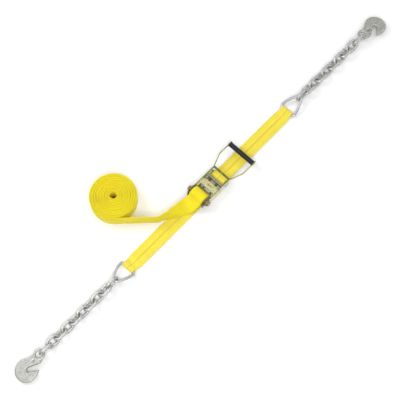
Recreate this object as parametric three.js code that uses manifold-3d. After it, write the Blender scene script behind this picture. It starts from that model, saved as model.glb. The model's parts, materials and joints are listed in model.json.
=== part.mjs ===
// Ratchet tie-down strap with a chain anchor and a grab hook at each end.
// Millimetres. +X runs along the strap towards the fixed end, +Z is up, and z = 0 is the
// surface that it lies on. The origin is under the middle of the ratchet frame's floor.
import * as THREE from 'three';
import { mergeVertices } from 'three/addons/utils/BufferGeometryUtils.js';
import Module from 'manifold-3d';

const wasm = await Module();
wasm.setup();

// Driving dimensions
const GAP = 0.3; // left between pieces that touch
const SHEET = 2.3; // thickness of the stamped plates
const PAWL_THICKNESS = 2.8;

const WEBBING = { width: 50, thickness: 2.4, atRing: 41, sewn: 5 };

const MANDREL = { z: 27, radius: 8, halfSlot: 1.75, halfLength: 42.5, pinY: 38.3 };
const DRUM_RADIUS = 21;
const WHEEL = { teeth: 14, tip: 22.5, root: 17.8, bore: 8.35, inner: 28.8, outer: 31.6 };

const FRAME = { inner: 26.2, outer: 28.5, bossRadius: 16, webStart: 42, webEnd: 64, lip: 12 };
const BOLT = { x: 92, z: 10, radius: 5, sleeve: 7, loop: 9.9, head: 5.4, acrossCorners: 9 };

const HANDLE = { inner: 31.9, outer: 34.2, bossRadius: 15.5, top: 32, bottom: 4 };
const ARM = { start: 104, bend: 150, end: 206, bottom: 21, top: 31, inner: 49.3, outer: 51.6 };
const CROSS_BAR = { start: 101, end: 108, depth: 2.5 };
const GRIP = { x: 197, z: 26, radius: 8.5, halfLength: 48.9, rod: 4, bore: 4.35 };
const SPRING_SEAT = { start: 72, end: 80.5, bottom: -5, top: 9 };

const DRIVE_PAWL = { angle: 8, nose: 23.1, plate: 38, end: 58, ear: 35.6, lip: 9 };
const BASE_PAWL = { angle: 29, nose: 22.9, plate: 31.5, end: 38, ear: 31.5, travel: 5 };
const DRIVE_SPRING = { from: 58.4, to: 71.6, y: 13, radius: 4.2, wire: 1.1, turns: 5, rise: 5 };
const BASE_SPRING = { from: 38.4, to: 45, y: 14, radius: 2.6, wire: 0.5, turns: 4, rise: 0.2 };

const RING = { wire: 4.25, length: 62, halfWidth: 26.8, corner: 6.5, apex: 10.6, barZ: 7.2 };
const RING_BAR = { fixed: 415, anchor: 313 };
const STRAP_START = 3;
const SEWN_START = 140;

const LINK = { wire: 4.9, pitch: 31, inside: 31.8, halfWidth: 12.4, slack: 1 };
// How the chain lies: the roll of each link about its length, and the height of each joint
const LINK_ROLLS = [-97, -26, 46, -28, 44, -30, 42, -34, 38, -71];
const JOINT_HEIGHTS = [18.8, 17.2, 15.5, 14.3, 13.7, 13.5, 13.5, 13.7, 15, 17.4, 19.8];

const HOOK = {
  thickness: 12,
  bevel: 2.6,
  tilt: 6.9,
  eyeRadius: 13.9,
  eyeWire: 4.1,
  neck: 18,
  bowl: { x: 58.5, y: -6.8, radius: 36, from: 128, to: -62 },
  throat: { x: 52.5, y: -9.4, radius: 6.6, opens: 207 },
};

const ROLL = { x: -187, y: 187.3, outer: 73.3, inner: 10 };
const TAIL_HEADING = 45; // degrees between the strap and the run that meets the roll
const TAIL_RUN = 130; // straight length that stands on edge before the roll
const TAIL_START = { x: -20.5, crest: 14, fall: 34 }; // it comes down off the wound turns
const TAIL_STEPS = 36;

const COLOURS = {
  webbing: { color: 0xf0dc30, roughness: 0.8, metalness: 0 },
  zinc: { color: 0xb9b483, roughness: 0.35, metalness: 0.9 },
  wheel: { color: 0x9c8f7c, roughness: 0.45, metalness: 0.9 },
  chain: { color: 0xb4b4b0, roughness: 0.5, metalness: 0.85 },
  bright: { color: 0xc9cacd, roughness: 0.25, metalness: 0.95 },
  spring: { color: 0x5a5a5c, roughness: 0.4, metalness: 0.9 },
  grip: { color: 0x2d2837, roughness: 0.6, metalness: 0 },
};

const radians = THREE.MathUtils.degToRad;

// Solids, and moving between three.js geometry and closed solids

function solid(geometry) {
  const bare = geometry.clone();
  bare.deleteAttribute('normal');
  bare.deleteAttribute('uv');
  const merged = mergeVertices(bare, 1e-4);
  const vertProperties = Float32Array.from(merged.attributes.position.array);
  const triVerts = Uint32Array.from(merged.index.array);
  return new wasm.Manifold(new wasm.Mesh({ numProp: 3, vertProperties, triVerts }));
}

function geometryOf(body) {
  const { vertProperties, triVerts } = body.getMesh();
  const geometry = new THREE.BufferGeometry();
  geometry.setAttribute('position', new THREE.BufferAttribute(vertProperties, 3));
  geometry.setIndex(new THREE.BufferAttribute(triVerts, 1));
  geometry.computeVertexNormals();
  return geometry;
}

function join(first, ...others) {
  return others.reduce((body, other) => body.add(other), first);
}

function cut(first, ...others) {
  return others.reduce((body, other) => body.subtract(other), first);
}

function box(low, high) {
  const size = high.map((value, axis) => value - low[axis]);
  const centre = high.map((value, axis) => (value + low[axis]) / 2);
  return solid(new THREE.BoxGeometry(...size).translate(...centre));
}

// A flat shape drawn in x and z, as a plate between two values of y
function plate(shape, yLow, yHigh, curveSegments = 8) {
  const options = { depth: yHigh - yLow, bevelEnabled: false, curveSegments };
  return new THREE.ExtrudeGeometry(shape, options).rotateX(Math.PI / 2).translate(0, yHigh, 0);
}

// A flat shape drawn in x and y, as a plate between two heights
function slab(shape, zLow, zHigh, curveSegments = 8) {
  const options = { depth: zHigh - zLow, bevelEnabled: false, curveSegments };
  return new THREE.ExtrudeGeometry(shape, options).translate(0, 0, zLow);
}

// A round bar along y
function bar(x, z, radius, yLow, yHigh, sides = 20) {
  const geometry = new THREE.CylinderGeometry(radius, radius, yHigh - yLow, sides);
  return geometry.translate(x, (yLow + yHigh) / 2, z);
}

function shapeOf(points) {
  return new THREE.Shape(points.map(([x, y]) => new THREE.Vector2(x, y)));
}

function circle(x, y, radius) {
  return new THREE.Path().absarc(x, y, radius, 0, 2 * Math.PI, true);
}

// A turned piece about y; its profile is a list of [radius, y]
function turned(profile, sides = 24) {
  return new THREE.LatheGeometry(profile.map(([r, y]) => new THREE.Vector2(r, y)), sides);
}

// Round wire bent along a flat closed path in x and y
function closedWire(path, radius, sides, divisions) {
  const points = path.getPoints(divisions);
  if (points[0].distanceTo(points.at(-1)) < 1e-6) {
    points.pop();
  }
  const steps = points.length;
  const geometry = new THREE.TorusGeometry(2 * radius, radius, sides, steps);
  const position = geometry.attributes.position;
  for (let side = 0; side <= sides; side++) {
    const turn = (side % sides) / sides * 2 * Math.PI;
    for (let step = 0; step <= steps; step++) {
      const here = points[step % steps];
      const before = points[(step + steps - 1) % steps];
      const after = points[(step + 1) % steps];
      const along = after.clone().sub(here).normalize().add(here.clone().sub(before).normalize());
      along.normalize();
      const out = radius * Math.cos(turn);
      const index = side * (steps + 1) + step;
      position.setXYZ(index, here.x + along.y * out, here.y - along.x * out, radius * Math.sin(turn));
    }
  }
  return geometry;
}

class Helix extends THREE.Curve {
  constructor(radius, length, turns) {
    super();
    this.radius = radius;
    this.length = length;
    this.turns = turns;
  }

  getPoint(t, target = new THREE.Vector3()) {
    const angle = 2 * Math.PI * this.turns * t;
    const y = this.radius * Math.cos(angle);
    const z = this.radius * Math.sin(angle);
    return target.set(this.length * (t - 0.5), y, z);
  }
}

// A compression spring along x, centred on the origin
function coilSpring({ from, to, radius, wire, turns }) {
  const section = new THREE.Shape().absarc(0, 0, wire, 0, 2 * Math.PI);
  const extrudePath = new Helix(radius - wire, to - from - 2 * wire, turns);
  const options = { extrudePath, steps: turns * 8, curveSegments: 2 };
  return new THREE.ExtrudeGeometry(section, options);
}

const group = new THREE.Group();

function addMesh(parent, name, geometry, finish) {
  const mesh = new THREE.Mesh(geometry, new THREE.MeshStandardMaterial(COLOURS[finish]));
  mesh.name = name;
  parent.add(mesh);
  return mesh;
}

// The ratchet

// Something that lies along a line from the mandrel, tipped down by an angle in degrees
function radial(geometry, angle) {
  return geometry.rotateY(radians(angle)).translate(0, 0, MANDREL.z);
}

// The slot that guides a pawl's ear through a side plate
function earSlot(pawl, start, end, y) {
  const half = PAWL_THICKNESS / 2 + 0.35;
  const geometry = new THREE.BoxGeometry(end - start, 2 * SHEET + 2, 2 * half);
  return solid(radial(geometry.translate((start + end) / 2, y, 0), pawl.angle));
}

function frameSide() {
  const side = new THREE.Shape();
  side.moveTo(-13, 0);
  side.lineTo(BOLT.x, 0);
  side.absarc(BOLT.x, BOLT.z, BOLT.z, -Math.PI / 2, Math.PI);
  side.lineTo(67, 10);
  side.lineTo(61, 15.5);
  side.lineTo(50, 15.5);
  side.lineTo(40, 19);
  side.lineTo(23, 19);
  side.absarc(0, MANDREL.z, FRAME.bossRadius, radians(-20), radians(200));
  side.closePath();
  side.holes.push(circle(0, MANDREL.z, WHEEL.bore));
  side.holes.push(circle(BOLT.x, BOLT.z, BOLT.radius + GAP));
  return side;
}

function baseFrame() {
  const side = frameSide();
  const slotEnd = BASE_PAWL.end + BASE_PAWL.travel + 1;
  const plates = [-FRAME.outer, FRAME.inner].map((low) => {
    const middle = low + SHEET / 2;
    return cut(solid(plate(side, low, low + SHEET)), earSlot(BASE_PAWL, 21.8, slotEnd, middle));
  });
  const reach = FRAME.inner + SHEET / 2;
  const web = box([FRAME.webStart, -reach, 0], [FRAME.webEnd, reach, SHEET]);
  const lip = box([FRAME.webStart, -20, 0], [FRAME.webStart + SHEET, 20, FRAME.lip]);
  return join(...plates, web, lip);
}

function handleSide() {
  const side = new THREE.Shape();
  side.moveTo(14, HANDLE.bottom);
  side.lineTo(70, HANDLE.bottom);
  side.lineTo(80, ARM.bottom);
  side.lineTo(ARM.start + 2, ARM.bottom);
  side.lineTo(ARM.start + 2, ARM.top);
  side.lineTo(ARM.start - 8, HANDLE.top);
  side.absarc(0, MANDREL.z, HANDLE.bossRadius, radians(25), radians(300));
  side.closePath();
  side.holes.push(circle(0, MANDREL.z, WHEEL.bore));
  return side;
}

function handleArm(sign) {
  const thickness = ARM.outer - ARM.inner;
  const arm = shapeOf([
    [ARM.start - 6, HANDLE.inner],
    [ARM.start, HANDLE.inner],
    [ARM.bend, ARM.inner],
    [ARM.end, ARM.inner],
    [ARM.end, ARM.outer],
    [ARM.bend - 0.2 * thickness, ARM.outer],
    [ARM.start - 0.2 * thickness, HANDLE.outer],
    [ARM.start - 6, HANDLE.outer],
  ].map(([x, y]) => [x, sign * y]));
  return solid(slab(arm, ARM.bottom, ARM.top));
}

// The channel that the drive pawl's springs push against: a floor and two upright edges
function springSeat() {
  const { start, end, bottom, top } = SPRING_SEAT;
  const reach = HANDLE.inner + SHEET / 2;
  const outside = new THREE.BoxGeometry(end - start, 2 * reach, top - bottom);
  const inside = new THREE.BoxGeometry(end - start - 2 * SHEET, 2 * HANDLE.inner, top - bottom);
  outside.translate((start + end) / 2, 0, (top + bottom) / 2);
  inside.translate((start + end) / 2, 0, (top + bottom) / 2 + SHEET);
  const tipped = [outside, inside].map((geometry) => solid(radial(geometry, DRIVE_PAWL.angle)));
  return cut(...tipped);
}

function handleFrame() {
  const side = handleSide();
  const plates = [-HANDLE.outer, HANDLE.inner].map((low) => {
    const middle = low + SHEET / 2;
    return cut(solid(plate(side, low, low + SHEET)), earSlot(DRIVE_PAWL, 39.4, 62.8, middle));
  });
  const reach = HANDLE.inner + SHEET / 2;
  const crossBar = box(
    [CROSS_BAR.start, -reach, ARM.top - CROSS_BAR.depth],
    [CROSS_BAR.end, reach, ARM.top],
  );
  const whole = join(...plates, handleArm(1), handleArm(-1), crossBar, springSeat());
  return cut(whole, solid(bar(GRIP.x, GRIP.z, GRIP.rod + GAP, -60, 60)));
}

function halfMandrel(sign) {
  const start = Math.asin(MANDREL.halfSlot / MANDREL.radius);
  const section = new THREE.Shape().absarc(0, 0, MANDREL.radius, start, Math.PI - start);
  const length = plate(section, -MANDREL.halfLength, MANDREL.halfLength, 12);
  const holes = [-1, 1].map((end) => {
    const hole = new THREE.CylinderGeometry(1.65, 1.65, 30, 12).rotateX(Math.PI / 2);
    return solid(hole.translate(0, end * MANDREL.pinY, 0));
  });
  const half = geometryOf(cut(solid(length), ...holes));
  return sign > 0 ? half : half.rotateY(Math.PI);
}

function ratchetWheel() {
  const pitch = 2 * Math.PI / WHEEL.teeth;
  const points = [];
  for (let tooth = 0; tooth < WHEEL.teeth; tooth++) {
    const start = tooth * pitch;
    for (const [radius, share] of [[WHEEL.root, 0], [WHEEL.tip, 0.04], [WHEEL.tip - 0.6, 0.2],
      [WHEEL.root + 1.4, 0.7]]) {
      const angle = start + share * pitch;
      points.push([radius * Math.cos(angle), radius * Math.sin(angle)]);
    }
  }
  const wheel = shapeOf(points);
  wheel.holes.push(circle(0, 0, WHEEL.bore));
  return wheel;
}

// A plate that slides towards the mandrel: a nose and an ear on each side, and open in the middle
function pawlPlate(pawl, earStart, earEnd, innerReach) {
  const side = HANDLE.inner - GAP;
  const reach = Math.min(pawl.ear, side);
  const outline = [
    [pawl.plate, -innerReach],
    [pawl.nose, -innerReach],
    [pawl.nose, -reach],
    [earStart, -reach],
    [earStart, -pawl.ear],
    [earEnd, -pawl.ear],
    [earEnd, -reach],
    [pawl.end, -reach],
    [pawl.end, reach],
    [earEnd, reach],
    [earEnd, pawl.ear],
    [earStart, pawl.ear],
    [earStart, reach],
    [pawl.nose, reach],
    [pawl.nose, innerReach],
    [pawl.plate, innerReach],
  ];
  const tidy = outline.filter(([x, y], i) => {
    const [nextX, nextY] = outline[(i + 1) % outline.length];
    return x !== nextX || y !== nextY;
  });
  return solid(slab(shapeOf(tidy), -PAWL_THICKNESS / 2, PAWL_THICKNESS / 2));
}

function drivePawl() {
  const flat = pawlPlate(DRIVE_PAWL, 40, 56, 26.5);
  const lip = box([DRIVE_PAWL.end - SHEET, -24, 0], [DRIVE_PAWL.end, 24, DRIVE_PAWL.lip]);
  const slot = box([48, -9, -5], [51.5, 9, 5]);
  return geometryOf(cut(join(flat, lip), slot));
}

function basePawl() {
  return geometryOf(pawlPlate(BASE_PAWL, BASE_PAWL.nose, BASE_PAWL.end, 25.8));
}

function woundWebbing() {
  const half = MANDREL.halfSlot - GAP;
  const bore = MANDREL.radius + GAP;
  const start = Math.asin(half / bore);
  const section = new THREE.Shape().absarc(0, 0, DRUM_RADIUS, 0, 2 * Math.PI);
  section.holes.push(new THREE.Path().absarc(0, 0, bore, start, Math.PI - start));
  section.holes.push(new THREE.Path().absarc(0, 0, bore, Math.PI + start, 2 * Math.PI - start));
  return plate(section, -WEBBING.width / 2, WEBBING.width / 2, 16);
}

function cotterPin(sign) {
  const shank = new THREE.CylinderGeometry(1.3, 1.3, 25, 8).rotateX(Math.PI / 2);
  const eye = new THREE.TorusGeometry(2.6, 1.1, 6, 12).rotateX(Math.PI / 2).translate(0, 0, 14.2);
  const leg = new THREE.CylinderGeometry(0.9, 0.9, 6, 6).translate(0, 2.6 * sign, -11.6);
  return geometryOf(join(solid(shank), solid(eye), solid(leg)));
}

function addRatchet() {
  addMesh(group, 'base_frame', geometryOf(baseFrame()), 'zinc');
  addMesh(group, 'handle_frame', geometryOf(handleFrame()), 'zinc');

  const rod = turned([
    [0, -ARM.outer - 2],
    [6, -ARM.outer - 2],
    [6, -ARM.outer - GAP],
    [GRIP.rod, -ARM.outer - GAP],
    [GRIP.rod, ARM.outer + GAP],
    [6, ARM.outer + GAP],
    [6, ARM.outer + 2],
    [0, ARM.outer + 2],
  ], 16);
  addMesh(group, 'handle_rod', rod, 'zinc').position.set(GRIP.x, 0, GRIP.z);
  const grip = turned([
    [GRIP.bore, -GRIP.halfLength],
    [GRIP.radius - 1.2, -GRIP.halfLength],
    [GRIP.radius, -GRIP.halfLength + 1.2],
    [GRIP.radius, GRIP.halfLength - 1.2],
    [GRIP.radius - 1.2, GRIP.halfLength],
    [GRIP.bore, GRIP.halfLength],
    [GRIP.bore, -GRIP.halfLength],
  ], 20);
  addMesh(group, 'handle_grip', grip, 'grip').position.set(GRIP.x, 0, GRIP.z);

  const axis = new THREE.Group();
  axis.position.z = MANDREL.z;
  group.add(axis);
  addMesh(axis, 'mandrel_upper_half', halfMandrel(1), 'zinc');
  addMesh(axis, 'mandrel_lower_half', halfMandrel(-1), 'zinc');
  addMesh(axis, 'wound_webbing', woundWebbing(), 'webbing');
  for (const [side, sign] of [['left', 1], ['right', -1]]) {
    const low = sign > 0 ? WHEEL.inner : -WHEEL.outer;
    const wheel = plate(ratchetWheel(), low, low + WHEEL.outer - WHEEL.inner, 6);
    addMesh(axis, `ratchet_wheel_${side}`, wheel, 'wheel');
    const washer = turned([
      [MANDREL.radius + GAP, -1],
      [13, -1],
      [13, 1],
      [MANDREL.radius + GAP, 1],
      [MANDREL.radius + GAP, -1],
    ]);
    const washerMesh = addMesh(axis, `mandrel_washer_${side}`, washer, 'zinc');
    washerMesh.position.y = sign * (HANDLE.outer + GAP + 1);
    const pin = addMesh(axis, `cotter_pin_${side}`, cotterPin(sign), 'bright');
    pin.position.y = sign * MANDREL.pinY;
  }

  const drive = new THREE.Group();
  drive.position.z = MANDREL.z;
  drive.rotation.y = radians(DRIVE_PAWL.angle);
  const base = new THREE.Group();
  base.position.z = MANDREL.z;
  base.rotation.y = radians(BASE_PAWL.angle);
  group.add(drive, base);
  addMesh(drive, 'drive_pawl', drivePawl(), 'bright');
  addMesh(base, 'base_pawl', basePawl(), 'zinc');
  for (const [line, label, spring] of [[drive, 'drive', DRIVE_SPRING], [base, 'base', BASE_SPRING]]) {
    for (const [side, sign] of [['left', 1], ['right', -1]]) {
      const mesh = addMesh(line, `${label}_pawl_spring_${side}`, coilSpring(spring), 'spring');
      mesh.position.set((spring.from + spring.to) / 2, sign * spring.y, spring.rise);
    }
  }

  addBolt();
}

function addBolt() {
  const head = new THREE.CylinderGeometry(BOLT.acrossCorners, BOLT.acrossCorners, BOLT.head, 6);
  head.translate(0, -FRAME.outer - GAP - BOLT.head / 2, 0);
  const nutLow = FRAME.outer + GAP;
  const shank = bar(0, 0, BOLT.radius, -FRAME.outer - 1, nutLow + BOLT.head + 1.4);
  const bolt = addMesh(group, 'strap_bolt', geometryOf(join(solid(head), solid(shank))), 'bright');
  const blank = new THREE.CylinderGeometry(BOLT.acrossCorners, BOLT.acrossCorners, BOLT.head, 6);
  blank.translate(0, nutLow + BOLT.head / 2, 0);
  const bored = cut(solid(blank), solid(bar(0, 0, BOLT.radius + GAP, nutLow - 1, nutLow + 9)));
  const nut = addMesh(group, 'strap_bolt_nut', geometryOf(bored), 'bright');
  const tube = turned([
    [BOLT.radius + GAP, -FRAME.inner + GAP],
    [BOLT.sleeve, -FRAME.inner + GAP],
    [BOLT.sleeve, FRAME.inner - GAP],
    [BOLT.radius + GAP, FRAME.inner - GAP],
    [BOLT.radius + GAP, -FRAME.inner + GAP],
  ]);
  const sleeve = addMesh(group, 'bolt_sleeve', tube, 'zinc');
  for (const mesh of [bolt, nut, sleeve]) {
    mesh.position.set(BOLT.x, 0, BOLT.z);
  }
}

// The straps

// Wedges that take a strap's width down where it goes round a ring's bar
function narrowing(barX) {
  const full = WEBBING.width / 2;
  const narrow = WEBBING.atRing / 2;
  return [-1, 1].map((sign) => {
    const wedge = shapeOf([
      [barX - 34, sign * (full + 0.01)],
      [barX - 8, sign * narrow],
      [barX + 12, sign * narrow],
      [barX + 12, sign * (full + 6)],
      [barX - 34, sign * (full + 6)],
    ]);
    return solid(slab(wedge, -1, 40));
  });
}

// The sewn loop round a ring's bar, drawn from the strap's lower face to its upper face
function drawRingLoop(side, barX) {
  side.lineTo(barX, 0);
  side.absarc(barX, RING.barZ, RING.barZ, -Math.PI / 2, Math.PI / 2, false);
  side.bezierCurveTo(barX - 9, 2 * RING.barZ, barX - 12, WEBBING.sewn, barX - 24, WEBBING.sewn);
  side.holes.push(circle(barX, RING.barZ, RING.wire + 0.4));
}

function strapBody(side, barX) {
  const half = WEBBING.width / 2;
  return geometryOf(cut(solid(plate(side, -half, half, 6)), ...narrowing(barX)));
}

function fixedStrap() {
  const side = new THREE.Shape();
  const strapTop = WEBBING.sewn;
  const { x, z, loop } = BOLT;
  side.moveTo(x, z - loop);
  side.bezierCurveTo(x + 8, z - loop, x + 12, 0, x + 24, 0);
  drawRingLoop(side, RING_BAR.fixed);
  side.lineTo(x + 44, strapTop);
  side.bezierCurveTo(x + 26, strapTop, x + 15, z + loop, x, z + loop);
  side.absarc(x, z, loop, Math.PI / 2, 3 * Math.PI / 2);
  side.holes.push(circle(x, z, BOLT.sleeve + 0.35));
  return strapBody(side, RING_BAR.fixed);
}

function anchorStrap() {
  const side = new THREE.Shape();
  side.moveTo(-STRAP_START, 0);
  drawRingLoop(side, RING_BAR.anchor);
  side.lineTo(SEWN_START + 6, WEBBING.sewn);
  side.lineTo(SEWN_START, WEBBING.thickness);
  side.lineTo(-STRAP_START, WEBBING.thickness);
  return strapBody(side, RING_BAR.anchor).rotateZ(Math.PI);
}

// The free end: down off the wound turns, then turned on edge, then straight to the roll
function tailRoute() {
  const heading = radians(180 - TAIL_HEADING);
  const away = new THREE.Vector2(Math.cos(heading), Math.sin(heading));
  const reach = ROLL.outer + GAP + WEBBING.thickness / 2;
  const touch = new THREE.Vector2(ROLL.x - away.y * reach, ROLL.y + away.x * reach);
  const onEdge = touch.clone().addScaledVector(away, -TAIL_RUN);
  const start = new THREE.Vector2(TAIL_START.x, 0);
  const lead = onEdge.clone().addScaledVector(away, -20);
  const bend = new THREE.CubicBezierCurve(start, new THREE.Vector2(-32, 0), lead, onEdge);
  return { bend, onEdge, touch };
}

function tailWebbing() {
  const { bend, onEdge, touch } = tailRoute();
  const bendLength = bend.getLength();
  const length = bendLength + TAIL_RUN;
  const geometry = new THREE.BoxGeometry(length, WEBBING.width, WEBBING.thickness, TAIL_STEPS, 2, 1);
  const position = geometry.attributes.position;
  const onStrap = WEBBING.thickness + GAP;
  for (let i = 0; i < position.count; i++) {
    const along = position.getX(i) + length / 2;
    const share = THREE.MathUtils.clamp(along / bendLength, 0, 1);
    const place = bend.getPointAt(share);
    const heading = bend.getTangentAt(share);
    if (along > bendLength) {
      place.lerpVectors(onEdge, touch, (along - bendLength) / TAIL_RUN);
    }
    const twist = Math.PI / 2 * Math.sqrt(share);
    const off = TAIL_START.crest * (1 - THREE.MathUtils.smoothstep(along, 0, TAIL_START.fall));
    const low = off + onStrap + (GAP - onStrap) * THREE.MathUtils.smoothstep(share, 0.72, 0.95);
    const across = position.getY(i);
    const through = position.getZ(i);
    const rise = (WEBBING.width * Math.sin(twist) + WEBBING.thickness * Math.cos(twist)) / 2;
    const flat = across * Math.cos(twist) + through * Math.sin(twist);
    const height = low + rise + across * Math.sin(twist) - through * Math.cos(twist);
    position.setXYZ(i, place.x + heading.y * flat, place.y - heading.x * flat, height);
  }
  return geometry;
}

function webbingRoll() {
  return turned([
    [ROLL.inner, 0],
    [ROLL.outer, 0],
    [ROLL.outer, WEBBING.width],
    [ROLL.inner, WEBBING.width],
    [ROLL.inner, 0],
  ], 48).rotateX(Math.PI / 2);
}

function addStraps() {
  addMesh(group, 'fixed_strap', fixedStrap(), 'webbing');
  addMesh(group, 'anchor_strap', anchorStrap(), 'webbing');
  addMesh(group, 'tail_webbing', tailWebbing(), 'webbing');
  const roll = addMesh(group, 'webbing_roll', webbingRoll(), 'webbing');
  roll.position.set(ROLL.x, ROLL.y, GAP);
}

// The chain ends

// A welded triangle ring: straight bar at x = 0, rounded point at x = length
function ringWire() {
  const { length, halfWidth, corner, apex } = RING;
  const across = halfWidth - corner;
  const along = length - apex - corner;
  const slope = Math.atan2(across, along) - Math.asin((apex - corner) / Math.hypot(across, along));
  const side = Math.PI / 2 - slope;
  const path = new THREE.Path();
  path.moveTo(0, -halfWidth + corner);
  path.absarc(corner, -halfWidth + corner, corner, Math.PI, 2 * Math.PI - side, false);
  path.absarc(length - apex, 0, apex, -side, side, false);
  path.absarc(corner, halfWidth - corner, corner, side, Math.PI, false);
  path.closePath();
  return closedWire(path, RING.wire, 8, 3);
}

function linkWire() {
  const { wire, inside, halfWidth } = LINK;
  const centre = inside / 2 + wire - halfWidth;
  const path = new THREE.Path();
  path.absarc(centre, 0, halfWidth, -Math.PI / 2, Math.PI / 2, false);
  path.absarc(-centre, 0, halfWidth, Math.PI / 2, 3 * Math.PI / 2, false);
  path.closePath();
  return closedWire(path, wire, 8, 3);
}

// A grab hook lying in x and y, with the middle of its eye at the origin
function hookBody() {
  const { thickness, bevel, eyeRadius, eyeWire, neck, bowl, throat } = HOOK;
  const mouth = radians(throat.opens);
  const out = new THREE.Vector2(Math.cos(mouth), Math.sin(mouth));
  const upper = [throat.x + throat.radius * out.y, throat.y - throat.radius * out.x];
  const lower = [throat.x - throat.radius * out.y, throat.y + throat.radius * out.x];
  const backStart = radians(bowl.from);
  const bowlTop = [bowl.x + bowl.radius * Math.cos(backStart), bowl.y + bowl.radius * Math.sin(backStart)];
  const body = new THREE.Shape();
  body.moveTo(2, neck);
  body.quadraticCurveTo(18, 8, ...bowlTop);
  body.absarc(bowl.x, bowl.y, bowl.radius, backStart, radians(bowl.to), true);
  body.quadraticCurveTo(66, -41.5, 44, -39);
  body.quadraticCurveTo(27, -37.5, lower[0] + 28 * out.x, lower[1] + 28 * out.y);
  body.lineTo(...lower);
  body.absarc(throat.x, throat.y, throat.radius, mouth + Math.PI / 2, mouth + 3 * Math.PI / 2, false);
  body.lineTo(upper[0] + 40 * out.x, upper[1] + 40 * out.y);
  body.lineTo(2, -neck);
  const options = {
    depth: thickness - 2 * bevel,
    bevelThickness: bevel,
    bevelSize: bevel,
    bevelOffset: -bevel,
    bevelSegments: 1,
    curveSegments: 7,
  };
  const extruded = new THREE.ExtrudeGeometry(body, options);
  extruded.translate(0, 0, bevel - thickness / 2);
  const hole = new THREE.CylinderGeometry(eyeRadius, eyeRadius, 20, 24).rotateX(Math.PI / 2);
  const eye = new THREE.TorusGeometry(eyeRadius, eyeWire, 8, 20);
  return geometryOf(join(cut(solid(extruded), solid(hole)), solid(eye)));
}

// Ring, chain and hook, laid along x from the middle of the ring's bar
function addChainEnd(label, barX, side) {
  const end = new THREE.Group();
  end.position.set(side * barX, 0, 0);
  end.rotation.z = side > 0 ? 0 : Math.PI;
  group.add(end);

  const ringTilt = Math.asin((JOINT_HEIGHTS[0] - RING.barZ) / RING.length);
  const ring = addMesh(end, `${label}_ring`, ringWire(), 'bright');
  ring.position.z = RING.barZ;
  ring.rotation.y = -ringTilt;

  let x = RING.length * Math.cos(ringTilt);
  LINK_ROLLS.forEach((roll, index) => {
    const rise = JOINT_HEIGHTS[index + 1] - JOINT_HEIGHTS[index];
    const pitch = -Math.asin(rise / LINK.pitch);
    const run = LINK.pitch * Math.cos(pitch);
    const number = String(index + 1).padStart(2, '0');
    const link = addMesh(end, `${label}_link_${number}`, linkWire(), 'chain');
    const share = 1 - (LINK.inside / 2 + LINK.wire) / LINK.pitch;
    link.position.set(x + run * share, 0, JOINT_HEIGHTS[index] + rise * share);
    link.rotation.set(side * radians(roll), pitch, 0, 'YXZ');
    x += run;
  });

  // The eye hangs inside the end of the last link
  const lastRise = JOINT_HEIGHTS.at(-1) - JOINT_HEIGHTS.at(-2);
  const lastPitch = Math.asin(lastRise / LINK.pitch);
  const back = LINK.wire + HOOK.eyeWire + LINK.slack;
  const tilt = radians(HOOK.tilt);
  const hook = addMesh(end, `${label}_hook`, hookBody(), 'chain');
  const hookX = x - back * Math.cos(lastPitch) + HOOK.eyeRadius * Math.cos(tilt);
  const hookDrop = back * Math.sin(lastPitch) + HOOK.eyeRadius * Math.sin(tilt);
  hook.position.set(hookX, 0, JOINT_HEIGHTS.at(-1) - hookDrop);
  hook.rotation.set(side > 0 ? 0 : Math.PI, tilt, 0, 'YXZ');
}

addRatchet();
addStraps();
addChainEnd('fixed', RING_BAR.fixed, 1);
addChainEnd('anchor', RING_BAR.anchor, -1);

// Everything above is laid out from the mandrel
group.position.x = -(FRAME.webStart + FRAME.webEnd) / 2;

export default group;
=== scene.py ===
"""The looks of a ratchet tie-down strap with chain anchors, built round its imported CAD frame.

Metres, +Z up. +X runs along the strap towards the fixed end. Places come from the CAD boxes and joints.
"""
import json
import math

import bmesh
import bpy
import numpy as np
from mathutils import Matrix, Vector
from mathutils.geometry import interpolate_bezier, tessellate_polygon

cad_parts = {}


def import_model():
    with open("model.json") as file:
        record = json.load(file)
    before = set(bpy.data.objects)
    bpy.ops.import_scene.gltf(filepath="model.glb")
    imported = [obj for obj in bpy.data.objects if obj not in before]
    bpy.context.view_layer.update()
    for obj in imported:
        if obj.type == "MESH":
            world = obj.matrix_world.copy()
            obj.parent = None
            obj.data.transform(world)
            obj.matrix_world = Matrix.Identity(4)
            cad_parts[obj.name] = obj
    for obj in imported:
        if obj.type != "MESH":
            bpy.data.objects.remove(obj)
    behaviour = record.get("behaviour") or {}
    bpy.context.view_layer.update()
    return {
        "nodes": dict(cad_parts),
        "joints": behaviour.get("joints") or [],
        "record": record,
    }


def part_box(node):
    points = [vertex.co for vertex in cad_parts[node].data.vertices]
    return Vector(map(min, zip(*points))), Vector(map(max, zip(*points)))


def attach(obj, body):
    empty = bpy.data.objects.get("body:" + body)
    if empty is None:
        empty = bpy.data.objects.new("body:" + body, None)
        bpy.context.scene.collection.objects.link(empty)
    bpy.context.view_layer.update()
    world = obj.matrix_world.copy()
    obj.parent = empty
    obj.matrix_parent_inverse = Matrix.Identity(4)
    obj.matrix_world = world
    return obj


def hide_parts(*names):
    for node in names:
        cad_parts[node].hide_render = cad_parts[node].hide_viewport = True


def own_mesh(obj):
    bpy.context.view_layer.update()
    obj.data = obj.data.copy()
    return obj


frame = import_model()

NODES = frame["nodes"]
JOINTS = {joint["name"]: joint for joint in frame["joints"]}
BODY_OF = {n: body for body, group in frame["record"]["behaviour"]["bodies"].items() for n in group}
MM = 0.001
X, Y, Z = Vector((1, 0, 0)), Vector((0, 1, 0)), Vector((0, 0, 1))

WIDTH = 50 * MM  # of the webbing
RING_WIDTH = 41 * MM  # of a strap where it is gathered into a ring
THICKNESS = 2.2 * MM


# Camera, floor and light

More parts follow.
